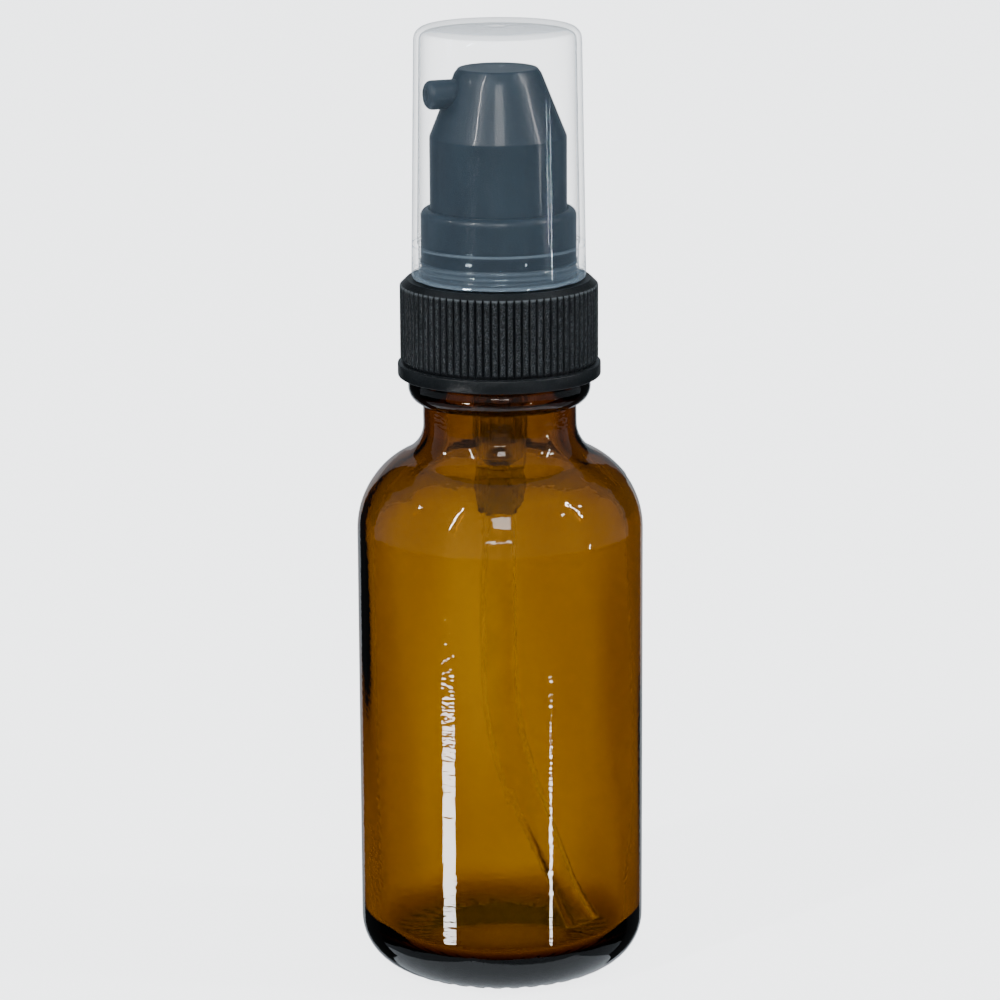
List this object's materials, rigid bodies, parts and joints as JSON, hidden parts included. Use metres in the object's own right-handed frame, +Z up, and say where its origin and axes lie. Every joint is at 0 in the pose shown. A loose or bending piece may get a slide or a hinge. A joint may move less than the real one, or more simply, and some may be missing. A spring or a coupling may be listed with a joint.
{
  "type": "soap pump dispenser",
  "caption": "Small round-shouldered glass bottle with a ribbed screw closure, a push-down treatment pump with a side nozzle, and a clear pull-off overcap.",
  "frame": {"origin": "centre of the bottle's standing plane, under the bottle's axis", "axes": "+Z up along the bottle's axis; the nozzle points along -X at rest"},
  "size_m": [0.0326, 0.0326, 0.1088],
  "materials": {
    "amber_glass": "clear amber container glass, smooth, with mould seams",
    "closure_black": "black polypropylene, satin, moulded ribs",
    "foam_liner": "white foamed polyethylene",
    "natural_plastic": "natural translucent polypropylene",
    "tube_plastic": "natural translucent polyethylene tube",
    "spring_steel": "bright stainless wire and ball",
    "pump_slate": "dark slate polypropylene, smooth semi-gloss",
    "overcap_clear": "clear polypropylene with a faint haze"
  },
  "bodies": {
    "bottle": {"bottle": "amber_glass"},
    "pump": {"pump_housing": "natural_plastic", "gasket": "foam_liner", "stem_guide": "natural_plastic", "collar": "pump_slate", "dip_tube": "tube_plastic", "return_spring": "spring_steel"},
    "closure": {"closure": "closure_black"},
    "overcap": {"overcap": "overcap_clear"},
    "stem": {"stem": "natural_plastic", "stem_plug": "natural_plastic"},
    "head": {"actuator": "pump_slate"},
    "piston": {"piston": "natural_plastic"},
    "ball": {"inlet_ball": "spring_steel"}
  },
  "joints": [
    {"name": "pump_lift", "type": "slide", "parent": "bottle", "child": "pump", "axis": [0, 0, 1], "range_m": [0, 0.00397]},
    {"name": "closure_turn", "type": "hinge", "parent": "pump", "child": "closure", "pos_m": [0, 0, 0.075], "axis": [0, 0, 1], "range_deg": [0, 450]},
    {"name": "overcap_lift", "type": "slide", "parent": "pump", "child": "overcap", "axis": [0, 0, 1], "range_m": [0, 0.03]},
    {"name": "pump_press", "type": "slide", "parent": "pump", "child": "stem", "axis": [0, 0, -1], "range_m": [0, 0.004], "stiffness_N_per_m": 1200, "springref_m": -0.003, "deforming": ["return_spring"]},
    {"name": "head_turn", "type": "hinge", "parent": "stem", "child": "head", "pos_m": [0, 0, 0.096], "axis": [0, 0, 1], "continuous": true},
    {"name": "piston_slide", "type": "slide", "parent": "pump", "child": "piston", "axis": [0, 0, -1], "range_m": [0, 0.0033]},
    {"name": "inlet_ball_lift", "type": "slide", "parent": "pump", "child": "ball", "axis": [0, 0, 1], "range_m": [0, 0.0005]}
  ],
  "couplings": [
    {"joint": "pump_lift", "follows": "closure_turn", "m_per_rad": 0.00050532},
    {"joint": "piston_slide", "follows": "pump_press", "ratio": 0.8}
  ]
}
